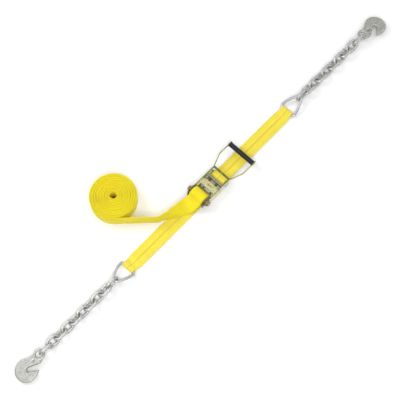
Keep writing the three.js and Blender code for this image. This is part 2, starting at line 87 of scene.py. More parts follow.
TARGET = Vector((-52.9, -5.0, 0)) * MM
AZIMUTH, ELEVATION = math.radians(-46.7), math.radians(68.8)
DISTANCE = 3.448
FOCAL_LENGTH, SENSOR_WIDTH = 99, 36
# Each lamp's place from the target, its width and its power
LAMPS = {
    "key_light": ((-0.6, 2.0, 1.9), 1.6, 26),
    "fill_light": ((1.9, -0.9, 1.5), 2.0, 9),
    "front_light": ((-1.1, -1.1, 2.2), 1.4, 28),
}
# The studio's brightness, from its walls at 0 to straight overhead at 1
STUDIO = [(0.0, 0.35), (0.3, 0.45), (0.6, 0.7), (0.8, 0.92), (0.9, 0.95), (1.0, 1.0)]
STUDIO_STRENGTH = 0.86
FLOOR_REACH = 30
FLOOR_DROP = 0.2 * MM  # the floor lies this far below what rests on it


def add_object(name, data):
    made = bpy.data.objects.new(name, data)
    bpy.context.scene.collection.objects.link(made)
    return made


def aim(thing, back, distance=1):
    """Stand it back from the target, and turn it to look there."""
    thing.location = TARGET + back * distance
    thing.rotation_mode = "QUATERNION"
    thing.rotation_quaternion = (-back).to_track_quat("-Z", "Y")


def add_camera():
    level = math.cos(ELEVATION)
    back = Vector((math.sin(AZIMUTH) * level, -math.cos(AZIMUTH) * level, math.sin(ELEVATION)))
    camera = add_object("camera", bpy.data.cameras.new("camera"))
    camera.data.lens = FOCAL_LENGTH
    camera.data.sensor_width = SENSOR_WIDTH
    aim(camera, back, DISTANCE)
    bpy.context.scene.camera = camera


def add_light(name, place, size, power):
    lamp = bpy.data.lights.new(name, "AREA")
    lamp.shape = "DISK"
    lamp.size = size
    lamp.energy = power
    aim(add_object(name, lamp), Vector(place))


def add_world():
    """A wide soft box overhead and greyer walls, so that round metal shows a light core."""
    world = bpy.data.worlds.new("studio")
    world.use_nodes = True
    tree = world.node_tree
    background = tree.nodes["Background"]
    place = tree.nodes.new("ShaderNodeTexCoord")
    parts = tree.nodes.new("ShaderNodeSeparateXYZ")
    ramp = tree.nodes.new("ShaderNodeValToRGB")
    while len(ramp.color_ramp.elements) < len(STUDIO):
        ramp.color_ramp.elements.new(0.5)
    for element, (height, level) in zip(ramp.color_ramp.elements, STUDIO):
        element.position = height
        element.color = (level, level, level, 1)
    tree.links.new(place.outputs["Generated"], parts.inputs[0])
    tree.links.new(parts.outputs["Z"], ramp.inputs["Fac"])
    tree.links.new(ramp.outputs["Color"], background.inputs["Color"])
    background.inputs["Strength"].default_value = STUDIO_STRENGTH
    bpy.context.scene.world = world


def add_stage():
    bpy.context.scene.view_settings.view_transform = "Standard"
    add_world()
    for name, (place, size, power) in LAMPS.items():
        add_light(name, place, size, power)
    mesh = bpy.data.meshes.new("floor")
    corners = [(x * FLOOR_REACH, y * FLOOR_REACH, 0) for x, y in ((-1, -1), (1, -1), (1, 1), (-1, 1))]
    mesh.from_pydata(corners, [], [(0, 1, 2, 3)])
    floor = add_object("floor", mesh)
    floor.location.z = -FLOOR_DROP
    paper = Shader("paper", roughness=0.9)
    grain = paper.ramp(paper.noise(3, 2), [(0.3, (0.90, 0.90, 0.90)), (0.7, (0.93, 0.93, 0.93))])
    paper.set("Base Color", grain)
    mesh.materials.append(paper.material)


# Materials

MIX_FIRST, MIX_SECOND, MIX_RESULT = 6, 7, 2  # the Mix node's sockets for colours
NOISE_LOW, NOISE_HIGH = 0.3, 0.7  # most of a noise lies between these
YARN = 1.5 * MM  # width of a warp yarn
DIP = 3.2 * MM  # length from one dip of a yarn to the next


class Shader:
    """A Principled material, with short calls for the nodes that feed it."""

    def __init__(self, name, metallic=0.0, roughness=0.5, **sockets):
        self.material = bpy.data.materials.new(name)
        self.material.use_nodes = True
        self.tree = self.material.node_tree
        self.surface = self.tree.nodes["Principled BSDF"]
        self.set("Metallic", metallic)
        self.set("Roughness", roughness)
        for socket, value in sockets.items():
            self.set(socket.replace("_", " "), value)

    def set(self, socket, value):
        self.feed(self.surface.inputs[socket], value)

    def feed(self, socket, value):
        if isinstance(value, bpy.types.NodeSocket):
            self.tree.links.new(value, socket)
        else:
            socket.default_value = value

    def node(self, kind, **settings):
        node = self.tree.nodes.new(kind)
        for name, value in settings.items():
            setattr(node, name, value)
        return node

    def place(self):
        return self.node("ShaderNodeTexCoord").outputs["Object"]

    def cloth(self):
        """A point's place along and across the webbing, and whether a seam runs along its middle, which also
        paints the strap paler as painted light.
        """
        node = self.node("ShaderNodeAttribute", attribute_name="cloth")
        parts = self.node("ShaderNodeSeparateXYZ")
        self.feed(parts.inputs[0], node.outputs["Vector"])
        return parts.outputs

    def noise(self, scale, detail=3, stretch=None):
        node = self.node("ShaderNodeTexNoise")
        node.inputs["Scale"].default_value = scale
        node.inputs["Detail"].default_value = detail
        place = self.place()
        if stretch:
            mapping = self.node("ShaderNodeMapping")
            mapping.inputs["Scale"].default_value = stretch
            self.feed(mapping.inputs["Vector"], place)
            place = mapping.outputs["Vector"]
        self.feed(node.inputs["Vector"], place)
        return node.outputs["Fac"]

    def ramp(self, source, stops):
        node = self.node("ShaderNodeValToRGB")
        elements = node.color_ramp.elements
        while len(elements) < len(stops):
            elements.new(0.5)
        for element, (position, colour) in zip(elements, stops):
            element.position = position
            element.color = (*colour, 1)
        self.feed(node.inputs["Fac"], source)
        return node.outputs["Color"]

    def calc(self, operation, first, second=0.0):
        node = self.node("ShaderNodeMath", operation=operation)
        self.feed(node.inputs[0], first)
        self.feed(node.inputs[1], second)
        return node.outputs[0]

    def humps(self, source):
        """A row of round humps, one from each whole number to the next."""
        return self.calc("ABSOLUTE", self.calc("SINE", self.calc("MULTIPLY", source, math.pi)))

    def remap(self, source, low, high):
        """A noise turned into values from low to high."""
        node = self.node("ShaderNodeMapRange")
        self.feed(node.inputs["Value"], source)
        node.inputs["From Min"].default_value = NOISE_LOW
        node.inputs["From Max"].default_value = NOISE_HIGH
        node.inputs["To Min"].default_value = low
        node.inputs["To Max"].default_value = high
        return node.outputs["Result"]

    def mix(self, share, first, second, blend="MIX"):
        node = self.node("ShaderNodeMix", data_type="RGBA", blend_type=blend)
        self.feed(node.inputs["Factor"], share)
        for socket, colour in ((MIX_FIRST, first), (MIX_SECOND, second)):
            linked = isinstance(colour, bpy.types.NodeSocket)
            self.feed(node.inputs[socket], colour if linked else (*colour, 1))
        return node.outputs[MIX_RESULT]

    def bump(self, height, depth, strength):
        """Add a bump to those that the surface has."""
        node = self.node("ShaderNodeBump")
        node.inputs["Strength"].default_value = strength
        node.inputs["Distance"].default_value = depth
        self.feed(node.inputs["Height"], height)
        if self.surface.inputs["Normal"].is_linked:
            self.feed(node.inputs["Normal"], self.surface.inputs["Normal"].links[0].from_socket)
        self.set("Normal", node.outputs["Normal"])


def webbing_material():
    """Heavy woven polyester: warp yarns that run along it, dipping under a weft in a brick pattern, with
    painted shade in the dips.
    """
    shader = Shader(
        "webbing", roughness=0.75, Sheen_Weight=0.06, Sheen_Roughness=0.5, Specular_IOR_Level=0.25
    )
    along, across, seam_and_lit = shader.cloth()
    yarn = shader.calc("MULTIPLY", across, 1 / YARN)
    offset = shader.calc("MULTIPLY", shader.calc("FLOOR", yarn), 0.5)
    step = shader.calc("ADD", shader.calc("MULTIPLY", along, 1 / DIP), offset)
    dip = shader.calc("ADD", shader.calc("MULTIPLY", shader.humps(step), 0.5), 0.5)
    weave = shader.calc("MULTIPLY", shader.humps(yarn), dip)
    # the yarn's tone, darkened by painted shade where the yarns dip
    thread = shader.ramp(weave, [
        (0.0, (0.62, 0.46, 0.003)),
        (0.4, (0.87, 0.745, 0.014)),
        (1.0, (0.91, 0.80, 0.03)),
    ])
    fade = shader.ramp(shader.noise(28, 4), [(0.35, (0.97, 0.93, 0.80)), (0.65, (1, 1, 1))])
    off_middle = shader.calc("MULTIPLY", shader.calc("ABSOLUTE", across), 1 / (WIDTH / 2))
    seam = shader.ramp(off_middle, [(0.0, (0.72, 0.62, 0.40)), (0.07, (1, 1, 1))])
    selvage = shader.ramp(off_middle, [(0.965, (1, 1, 1)), (1.0, (0.94, 0.93, 0.7))])
    tone = shader.mix(1.0, shader.mix(1.0, thread, fade, "MULTIPLY"), selvage, "MULTIPLY")
    # sewn straps get a paler tone: painted light, as if lit more than the drum and tail
    painted_lit_tone = shader.mix(0.08, tone, (0.92, 0.86, 0.7))
    shader.set("Base Color", shader.mix(seam_and_lit, tone, shader.mix(1.0, painted_lit_tone, seam, "MULTIPLY")))
    shader.set("Roughness", shader.remap(shader.noise(60), 0.66, 0.82))
    shader.bump(weave, 0.35 * MM, 0.8)
    shader.bump(shader.noise(2600, 1), 0.08 * MM, 0.4)
    return shader.material


# Tones of metal, against a noise
STRAW_FILM = [
    (0.32, (0.58, 0.74, 0.34)),
    (0.44, (0.80, 0.78, 0.44)),
    (0.56, (0.84, 0.70, 0.50)),
    (0.68, (0.62, 0.78, 0.44)),
]
PINK_FILM = [
    (0.32, (0.26, 0.21, 0.12)),
    (0.46, (0.46, 0.33, 0.23)),
    (0.58, (0.56, 0.39, 0.31)),
    (0.7, (0.16, 0.12, 0.08)),
]
CHAIN_TONES = [(0.3, (0.44, 0.44, 0.42)), (0.5, (0.58, 0.58, 0.56)), (0.72, (0.68, 0.68, 0.66))]
HOOK_TONES = [(0.3, (0.36, 0.36, 0.335)), (0.5, (0.49, 0.49, 0.46)), (0.72, (0.58, 0.58, 0.55))]


def yellow_zinc_material(name, film_tones):
    """Yellow passivated zinc plate, which shifts in tone. The faces that its edge attribute marks get a
    painted dark reflection.
    """
    shader = Shader(name, metallic=0.85, roughness=0.3)
    film = shader.ramp(shader.noise(42, 2), film_tones)
    dull = shader.ramp(shader.noise(180, 4), [(0.35, (0.80, 0.78, 0.70)), (0.6, (1, 1, 1))])
    face = shader.mix(0.6, film, dull, "MULTIPLY")
    # painted dark reflection on the marked faces: plate edges and the cross bar's top
    dark_edge_tone = shader.ramp(shader.noise(120, 3), [(0.35, (0.14, 0.16, 0.04)), (0.65, (0.32, 0.32, 0.10))])
    edge = shader.node("ShaderNodeAttribute", attribute_name="painted_dark_edge").outputs["Fac"]
    shader.set("Base Color", shader.mix(edge, face, dark_edge_tone))
    shader.set("Roughness", shader.remap(shader.noise(90, 4), 0.24, 0.44))
    shader.bump(shader.noise(900, 3, (1, 6, 6)), 0.05 * MM, 0.5)
    shader.bump(shader.noise(60, 2), 0.3 * MM, 0.15)
    return shader.material


def chain_material(name, tones):
    """Dull zinc plate on chain and forgings, which varies in tone and is painted darker in a recess, as
    painted shade.
    """
    shader = Shader(name, metallic=1.0, roughness=0.45)
    tone = shader.ramp(shader.noise(150, 4), tones)
    painted_recess_shade = shader.node("ShaderNodeAttribute", attribute_name="painted_recess_shade").outputs["Fac"]
    # painted shade in the hook's neck hollow
    shader.set("Base Color", shader.mix(painted_recess_shade, tone, (0.30, 0.30, 0.27)))
    shader.set("Roughness", shader.remap(shader.noise(220, 4), 0.42, 0.62))
    shader.bump(shader.noise(420, 4), 0.2 * MM, 0.35)
    shader.bump(shader.noise(2200, 2), 0.06 * MM, 0.4)
    return shader.material


# Finishes that follow noise alone: the noise and stops of the tone, the noise, depth and strength of
# the grain, and the noise and range of the roughness
FINISHES = {
    "sewing_thread": dict(
        tone=((300,), [(0.3, (0.50, 0.36, 0.01)), (0.7, (0.70, 0.55, 0.03))]),
        grain=((4000, 1, (1, 6, 1)), 0.1 * MM, 0.5),
        roughness=0.6, Sheen_Weight=0.3,
    ),
    "wheel_zinc": dict(
        tone=((160, 3), [(0.3, (0.16, 0.12, 0.08)), (0.5, (0.34, 0.29, 0.19)), (0.7, (0.27, 0.22, 0.2))]),
        grain=((1500, 2), 0.05 * MM, 0.5), rough=((300, 4), 0.3, 0.5), metallic=1.0,
    ),
    "bright_zinc": dict(
        tone=((120, 3), [(0.3, (0.50, 0.50, 0.52)), (0.7, (0.61, 0.61, 0.63))]),
        grain=((500, 2), 0.03 * MM, 0.3), rough=((260, 4), 0.32, 0.44), metallic=1.0,
    ),
    "spring_steel": dict(
        tone=((400, 2), [(0.3, (0.10, 0.075, 0.06)), (0.7, (0.24, 0.19, 0.16))]),
        grain=((3000, 1), 0.03 * MM, 0.4), metallic=1.0, roughness=0.35,
    ),
    "grip_vinyl": dict(
        tone=((500, 3), [(0.35, (0.010, 0.008, 0.015)), (0.65, (0.022, 0.018, 0.032))]),
        grain=((1800, 2), 0.12 * MM, 0.6), rough=((200, 3), 0.4, 0.6), Specular_IOR_Level=0.3,
    ),
}


def finish(name):
    return noisy_material(name, **FINISHES[name])


def noisy_material(name, tone, grain, rough=None, **surface):
    shader = Shader(name, **surface)
    noise, stops = tone
    shader.set("Base Color", shader.ramp(shader.noise(*noise), stops))
    if rough:
        noise, low, high = rough
        shader.set("Roughness", shader.remap(shader.noise(*noise), low, high))
    noise, depth, strength = grain
    shader.bump(shader.noise(*noise), depth, strength)
    return shader.material


# Meshes

SHARP = math.radians(38)  # edges bent more than this aren't smoothed


def piece_from(name, vertices, faces, material, sharp=SHARP):
    mesh = bpy.data.meshes.new(name)
    mesh.from_pydata([tuple(v) for v in vertices], [], faces)
    shape = bmesh.new()
    shape.from_mesh(mesh)
    bmesh.ops.recalc_face_normals(shape, faces=shape.faces)
    shape.to_mesh(mesh)
    shape.free()
    return finished(name, mesh, material, sharp)


def finished(name, mesh, material, sharp=SHARP):
    mesh.polygons.foreach_set("use_smooth", [True] * len(mesh.polygons))
    mesh.set_sharp_from_angle(angle=sharp)
    mesh.materials.clear()
    mesh.materials.append(material)
    return add_object(name, mesh)


def settle(piece, body, slot, *nodes):
    """The piece rides on the body and stands for the CAD nodes, which are hidden. Its slot is not used."""
    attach(piece, body)
    if nodes:
        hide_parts(*nodes)
    return piece


def smooth(low, high, value):
    """From 0 at low to 1 at high, with no sudden start or stop."""
    share = min(max((value - low) / (high - low), 0), 1)
    return share * share * (3 - 2 * share)


def rings_to_faces(rings, size, closed):
    """The quads between rings of vertices, and caps where the row of rings is open."""
    faces = []
    for ring in range(rings if closed else rings - 1):
        here, there = ring * size, (ring + 1) % rings * size
        for k in range(size):
            following = (k + 1) % size
            faces.append((here + k, here + following, there + following, there + k))
    if not closed:
        faces.append(tuple(reversed(range(size))))
        faces.append(tuple(range((rings - 1) * size, rings * size)))
    return faces


def tangents(points, closed):
    count = len(points)
    found = []
    for i in range(count):
        before = points[i - 1] if closed or i else points[0]
        after = points[(i + 1) % count] if closed or i < count - 1 else points[-1]
        found.append((after - before).normalized())
    return found


def tube(points, ups, radii, sides, closed=True):
    """Vertices and faces of round wire along points; ups lie roughly square to it."""
    vertices = []
    for point, forward, up, radius in zip(points, tangents(points, closed), ups, radii):
        side = forward.cross(up).normalized()
        top = side.cross(forward)
        for k in range(sides):
            turn = 2 * math.pi * k / sides
            vertices.append(point + (side * math.cos(turn) + top * math.sin(turn)) * radius)
    return vertices, rings_to_faces(len(points), sides, closed)


def arc(centre, radius, start, end, steps):
    """Points in the x-y plane round a centre, with angles in degrees."""
    found = []
    for i in range(steps + 1):
        angle = math.radians(start + (end - start) * i / steps)
        found.append(Vector((centre[0] + radius * math.cos(angle), centre[1] + radius * math.sin(angle), 0)))
    return found


def curve_through(start, control, end, steps=12):
    """A curve from start to end, which leaves and arrives along the lines to its control point."""
    found = []
    for i in range(steps + 1):
        t = i / steps
        found.append(start * (1 - t) ** 2 + control * (2 * t * (1 - t)) + end * t ** 2)
    return found


def length_of(points):
    return sum((b - a).length for a, b in zip(points, points[1:]))


def even(points, spacing, closed=False):
    """The same line with its points a set distance apart."""
    line = np.array([tuple(p) for p in points] + ([tuple(points[0])] if closed else []))
    reach = np.concatenate([[0], np.cumsum(np.linalg.norm(np.diff(line, axis=0), axis=1))])
    count = max(2, round(reach[-1] / spacing))
    marks = np.linspace(0, reach[-1], count + 1)[:-1 if closed else None]
    return [Vector([np.interp(mark, reach, line[:, axis]) for axis in range(3)]) for mark in marks]


def turned(profile, sides=40):
    """Vertices and faces of a piece turned about y, from a closed profile of (radius, y)."""
    vertices = []
    for k in range(sides):
        turn = 2 * math.pi * k / sides
        for radius, y in profile:
            vertices.append(Vector((radius * math.cos(turn), y, -radius * math.sin(turn))))
    return vertices, rings_to_faces(sides, len(profile), True)


def placed(vertices, matrix):
    return [matrix @ v for v in vertices]


def axes_at(origin, along, normal):
    """A placing matrix: local x along, local z on the normal."""
    along, normal = along.normalized(), normal.normalized()
    across = normal.cross(along)
    matrix = Matrix((along, across, normal)).transposed().to_4x4()
    matrix.translation = origin
    return matrix


def joint_place(name):
    return Vector(JOINTS[name]["pos_m"])


def joint_axis(name):
    return Vector(JOINTS[name]["axis"])


MANDREL = joint_place("mandrel_turn")
INSIDE_PLATES = 26 * MM  # the side plates lie further than this from the middle
CROSS_BAR_REACH = 95 * MM  # from the mandrel to the start of the handle's cross bar
EDGE_WIDTH = 2.5 * MM  # a plate's thin edge face, given a painted dark reflection, is narrower than this
ONE_POINT = 1e-6
ONE_PLANE = math.radians(0.5)
BENT_EDGE = math.radians(40)  # edges bent more than this are rounded


def gets_painted_dark(face):
    """Whether a face gets a painted dark reflection: a side plate's thin edge, or the top of the handle's
    cross bar.
    """
    centre = face.calc_center_median()
    narrow = 2 * face.calc_area() / max(face.calc_perimeter(), 1e-9)
    beyond = abs(centre.y) > INSIDE_PLATES or centre.x - MANDREL.x > CROSS_BAR_REACH
    return beyond and (narrow < EDGE_WIDTH or face.normal.z > 0.5)


def plated(node, material, slot, round_off=0.4 * MM, segments=2, paint_dark_edges=False):
    """A stamped or turned piece: the CAD shape with its edges rounded, and the faces that get a painted dark
    reflection marked.
    """
    mesh = NODES[node].data.copy()
    shape = bmesh.new()
    shape.from_mesh(mesh)
    bmesh.ops.remove_doubles(shape, verts=shape.verts, dist=ONE_POINT)
    bmesh.ops.dissolve_limit(shape, angle_limit=ONE_PLANE, verts=shape.verts, edges=shape.edges)
    # marks the faces that get a painted dark reflection
    edge = shape.faces.layers.float.new("painted_dark_edge")
    for face in shape.faces:
        face[edge] = float(paint_dark_edges and gets_painted_dark(face))
    shape.to_mesh(mesh)
    shape.free()
    piece = finished(f"{node}_metal", mesh, material)
    bevel = piece.modifiers.new("rounded_edges", "BEVEL")
    bevel.width = round_off
    bevel.segments = segments
    bevel.limit_method = "ANGLE"
    bevel.angle_limit = BENT_EDGE
    bevel.harden_normals = True
    return settle(piece, BODY_OF[node], slot, node)


# Webbing

# The upper half of a section of webbing: share of the half width, and share of the half thickness
UPPER_FACE = [
    (-1, 0.3), (-0.985, 0.75), (-0.95, 1), (-0.7, 1), (-0.35, 1), (0, 1),
    (0.35, 1), (0.7, 1), (0.95, 1), (0.985, 0.75), (1, 0.3),
]
CLOTH_SHARP = math.radians(50)
STEP = 2.5 * MM  # between points along a strip
STITCH, STITCH_PITCH = 3.4 * MM, 4.6 * MM
THREAD_RADIUS = 0.42 * MM
THREAD_RISE = 0.1 * MM  # of a stitch's middle above the cloth
# A stitch from end to end: share of its length, how far it sinks in millimetres, share of the thread
STITCH_LINE = [
    (-0.5, 0.45, 0.35), (-0.38, 0.1, 0.85), (-0.15, 0, 1),
    (0.15, 0, 1), (0.38, 0.1, 0.85), (0.5, 0.45, 0.35),
]


class Strip:
    """A length of webbing: its middle line, with the way across it and out of its face."""

    def __init__(self, seam_and_lit=False):
        self.places, self.across, self.out, self.widths = [], [], [], []
        self.seam_and_lit = float(seam_and_lit)

    def add(self, place, across, out, width=WIDTH):
        self.places.append(Vector(place))
        self.across.append(Vector(across).normalized())
        self.out.append(Vector(out).normalized())
        self.widths.append(width)

    def reach(self):
        steps = [(b - a).length for a, b in zip(self.places, self.places[1:])]
        return np.concatenate([[0], np.cumsum(steps)])

    def length(self):
        return float(self.reach()[-1])

    def at(self, mark, sideways):
        """The place, heading and outward way at a distance along the strip."""
        reach = self.reach()
        i = int(np.clip(np.searchsorted(reach, mark) - 1, 0, len(reach) - 2))
        share = (mark - reach[i]) / max(reach[i + 1] - reach[i], 1e-9)
        across = self.across[i].lerp(self.across[i + 1], share)
        out = self.out[i].lerp(self.out[i + 1], share)
        width = self.widths[i] + (self.widths[i + 1] - self.widths[i]) * share
        place = self.places[i].lerp(self.places[i + 1], share) + across * sideways * width / WIDTH
        return place, (self.places[i + 1] - self.places[i]).normalized(), out

    def piece(self, name, material):
        section = UPPER_FACE + [(v, -h) for v, h in reversed(UPPER_FACE)]
        vertices, cloth = [], []
        rows = zip(self.places, self.across, self.out, self.widths, self.reach())
        for place, across, out, width, mark in rows:
            for v, h in section:
                vertices.append(place + across * (v * width / 2) + out * (h * THICKNESS / 2))
                cloth += [mark, v * WIDTH / 2, self.seam_and_lit]
        faces = rings_to_faces(len(self.places), len(section), False)
        piece = piece_from(name, vertices, faces, material, CLOTH_SHARP)
        attribute = piece.data.attributes.new("cloth", "FLOAT_VECTOR", "POINT")
        attribute.data.foreach_set("vector", cloth)
        return piece


def in_side_view(points, width_at):
    """A strip along points in the x-z plane, with y across it and its outer face to the left."""
    # sewn, so also painted paler as if lit more
    strip = Strip(seam_and_lit=True)
    for point, forward in zip(points, tangents(points, False)):
        strip.add(point, Y, forward.cross(Y), width_at(point))
    return strip


def stitches(name, strip, rows, material, body, face=1):
    """Sewn rows: each row is (start, end, sideways start, sideways end) along and across the strip.

    They are seen on the strip's outer face, or on its inner face where face is -1.
    """
    vertices, faces = [], []
    radii = [THREAD_RADIUS * share for _, _, share in STITCH_LINE]
    for start, end, side_start, side_end in rows:
        count = max(1, int(abs(end - start) / STITCH_PITCH))
        for i in range(count):
            share = (i + 0.5) / count
            mark = start + (end - start) * share
            sideways = side_start + (side_end - side_start) * share
            place, forward, out = strip.at(mark, sideways)
            slant = (side_end - side_start) / (end - start)
            heading = (forward + out.cross(forward) * -slant).normalized()
            middle = place + out * face * (THICKNESS / 2 + THREAD_RISE)
            points = [middle + heading * STITCH * t - out * face * sink * MM for t, sink, _ in STITCH_LINE]
            more, quads = tube(points, [out] * len(points), radii, 6, False)
            base = len(vertices)
            vertices += more
            faces += [tuple(base + k for k in quad) for quad in quads]
    piece = piece_from(name, vertices, faces, material)
    return settle(piece, body, "webbing")


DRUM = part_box("wound_webbing")
DRUM_RADIUS = (DRUM[1].x - DRUM[0].x) / 2
DRUM_PITCH = THICKNESS + 0.25 * MM
DRUM_INNER = 9.8 * MM
DRUM_STEPS = 44  # in one turn
DRUM_START = math.radians(25)  # where the first turn leaves the slot
DRUM_WANDER = 0.35 * MM


def add_drum(material):
    """The turns wound on the mandrel, which start in its slot."""
    strip = Strip()
    outer = DRUM_RADIUS - 1.5 * DRUM_PITCH
    turns = (outer - DRUM_INNER) / DRUM_PITCH
    slot = [Vector((x, 0, 0)) * MM for x in (-7.5, -2.5, 2.5, 6.5)]
    steps = int(turns * DRUM_STEPS)
    spiral = []
    for i in range(steps + 1):
        angle = DRUM_START + 2 * math.pi * turns * i / steps
        radius = DRUM_INNER + (outer - DRUM_INNER) * i / steps
        spiral.append(Vector((radius * math.cos(angle), 0, radius * math.sin(angle))))
    points = slot + spiral
    for i, (point, forward) in enumerate(zip(points, tangents(points, False))):
        wander = DRUM_WANDER * math.sin(i * 0.11) if i >= len(slot) else 0
        strip.add(MANDREL + point + Y * wander, Y, Y.cross(forward))
    drum = settle(strip.piece("wound_turns", material), "mandrel", "webbing", "wound_webbing")


# The strap that the bolt holds, and the strap that runs on to the anchor

BAR_RADIUS = 4.65 * MM  # inside a sewn loop, round a ring's bar
LOWER, UPPER = 1.65 * MM, 4.0 * MM  # middles of the two layers of a sewn strap
SLEEVE_RADIUS = 7.35 * MM
SEAMS = [-20 * MM, -15 * MM, -2.6 * MM, 2.6 * MM, 15 * MM, 20 * MM]  # rows of sewing, off the middle
BUTT = 1 * MM  # from where a strap's cut ends meet to either end
GATHER_START, GATHER_LENGTH = 34 * MM, 26 * MM  # from the ring's bar, and over which the strap narrows
SEWN_START = 34 * MM  # from the ring's bar to the rows of sewing
TACK_START, TACK_LENGTH, TACK_SIDE = 30 * MM, 12 * MM, 20 * MM  # the crossed rows
BOLT_TAPER = 44 * MM  # from the bolt to where the strap lies flat
FOLD_REACH = 140 * MM  # from the mandrel to the anchor strap's cut end
WRAP_END = -50  # where the anchor strap leaves the drum, in degrees from the fixed end


def narrowed(bar_x):
    """The width of a strap near the ring that it is gathered into."""
    def width_at(point):
        share = smooth(0, GATHER_LENGTH, GATHER_START - abs(point.x - bar_x))
        return WIDTH + (RING_WIDTH - WIDTH) * share
    return width_at


def bezier_xz(start, first, second, end, steps=14):
    return interpolate_bezier(*[Vector((x, 0, z)) for x, z in (start, first, second, end)], steps)


def half_round(centre, radius, start, end, steps=16):
    return [Vector((p.x, 0, p.y)) for p in arc(centre, radius, start, end, steps)]


def ring_loop(bar, side):
    """Round a ring's bar from the lower layer to the upper one; side is +1 at the fixed end."""
    radius = BAR_RADIUS + THICKNESS / 2
    low, high = bar.z - radius, bar.z + radius

    def before(distance, z):
        return bar.x - side * distance * MM, z

    lead = bezier_xz(before(20, LOWER), before(12, LOWER), before(8, low), before(0, low), 6)
    turn = half_round((bar.x, bar.z), radius, -90, -90 + side * 180)
    fall = bezier_xz(before(0, high), before(10, high), before(12, UPPER), before(26, UPPER))
    return lead + turn[1:-1] + fall


def sewn_rows(low, high, offsets):
    return [(low, high, offset, offset) for offset in offsets]


def crossed_rows(start):
    end = start + TACK_LENGTH
    return [(start, end, -TACK_SIDE, TACK_SIDE), (start, end, TACK_SIDE, -TACK_SIDE)]


def add_fixed_strap(material, thread):
    """One strip round the bolt and the ring, with its ends butted under the handle's grip."""
    bolt = joint_place("fixed_strap_swing")
    bar = joint_place("fixed_ring_swing")
    meet = (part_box("handle_grip")[0].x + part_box("handle_grip")[1].x) / 2
    radius = SLEEVE_RADIUS + THICKNESS / 2
    top, bottom = bolt.z + radius, bolt.z - radius

    def beyond(distance, z):
        return bolt.x + distance * MM, z

    flat = (bolt.x + BOLT_TAPER, UPPER)
    rise = bezier_xz(flat, beyond(26, UPPER), beyond(15, top), beyond(0, top))
    fall = bezier_xz(beyond(0, bottom), beyond(8, bottom), beyond(12, LOWER), beyond(24, LOWER))
    round_bolt = half_round((bolt.x, bolt.z), radius, 90, 270)
    line = [Vector((meet - BUTT, 0, UPPER))] + rise + round_bolt[1:-1] + fall
    line += ring_loop(bar, 1) + [Vector((meet + BUTT, 0, UPPER))]
    points = even(line, STEP)
    strip = in_side_view(points, narrowed(bar.x))
    strap = settle(strip.piece("fixed_strap_webbing", material), "fixed_strap", "webbing", "fixed_strap")
    total = strip.length()
    first = meet - bolt.x - BOLT_TAPER
    at_bar = total - (bar.x - meet)
    top_rows = sewn_rows(4 * MM, first, SEAMS)
    top_rows += sewn_rows(at_bar + SEWN_START, total - 4 * MM, SEAMS)
    top_rows += crossed_rows(at_bar + TACK_START)
    lower_start = first + length_of(rise) + math.pi * radius + 26 * MM
    low_rows = sewn_rows(lower_start, lower_start + bar.x - bolt.x - 60 * MM, SEAMS)
    seam = stitches("fixed_strap_seam", strip, top_rows, thread, "fixed_strap", face=-1)
    under = stitches("fixed_strap_under_seam", strip, low_rows, thread, "fixed_strap", face=-1)


def add_anchor_strap(material, thread):
    """From under the drum to its ring, round it, and sewn back on itself."""
    bar = joint_place("anchor_ring_swing")
    fold_end = MANDREL.x - FOLD_REACH
    radius = MANDREL.z - LOWER
    wrap = half_round((MANDREL.x, MANDREL.z), radius, WRAP_END, -90, 10)
    line = wrap + ring_loop(bar, -1) + [Vector((fold_end, 0, UPPER))]
    points = even(line, STEP)
    strip = in_side_view(points, narrowed(bar.x))
    strap = settle(strip.piece("anchor_strap_webbing", material), "anchor_strap", "webbing", "anchor_strap")
    total = strip.length()
    fold = fold_end - bar.x
    rows = sewn_rows(total - fold + SEWN_START, total - 5 * MM, SEAMS)
    rows += crossed_rows(total - fold + TACK_START) + crossed_rows(total - 16 * MM)
    seam = stitches("anchor_strap_seam", strip, rows, thread, "anchor_strap")
    low_end = length_of(wrap) + MANDREL.x - bar.x - 30 * MM
    under_rows = sewn_rows(low_end - fold + 40 * MM, low_end, SEAMS)
    under = stitches("anchor_strap_under_seam", strip, under_rows, thread, "anchor_strap")


# The free end: off the drum, up on to its edge, and wound into a roll

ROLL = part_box("webbing_roll")
ROLL_CENTRE = (ROLL[0] + ROLL[1]) / 2
ROLL_RADIUS = (ROLL[1].x - ROLL[0].x) / 2
ROLL_INNER = 10.6 * MM
ROLL_PITCH = 2.55 * MM
ROLL_STEPS = 48  # in one turn
ROLL_SLACK, ROLL_LIFT, ROLL_LEAN = 0.22 * MM, 0.45 * MM, 0.012  # how unevenly it is wound
EDGE_LIFT = 0.4 * MM  # of the webbing's edge above the floor
ON_STRAP = 3.0 * MM  # height of the tail's lower face, where it lies on the anchor strap
TAIL_HEADING = math.radians(180 - 45)
TAIL_RUN = 130 * MM  # of its straight part, from where it stands on edge to the roll
TAIL_START, TAIL_CONTROL, TAIL_BEND = 20.5 * MM, 32 * MM, 20 * MM  # how it bends away in plan
TAIL_OVER = -10  # where the tail's turn starts on the drum, in degrees from the fixed end
LEAVES_DRUM = 148  # and where it comes away
SKIRT_REACH = 62 * MM  # from the mandrel to where it has fallen on to the strap


def tail_line():
    """Plan of the tail as in the CAD: a bend from the drum, then straight to the roll."""
    away = Vector((math.cos(TAIL_HEADING), math.sin(TAIL_HEADING), 0))
    reach = ROLL_RADIUS + 1.5 * MM
    touch = Vector((ROLL_CENTRE.x - away.y * reach, ROLL_CENTRE.y + away.x * reach, 0))
    on_edge = touch - away * TAIL_RUN
    start = Vector((MANDREL.x - TAIL_START, 0, 0))
    control = Vector((MANDREL.x - TAIL_CONTROL, 0, 0))
    bend = even(interpolate_bezier(start, control, on_edge - away * TAIL_BEND, on_edge, 80), STEP)
    return bend, on_edge, touch, reach


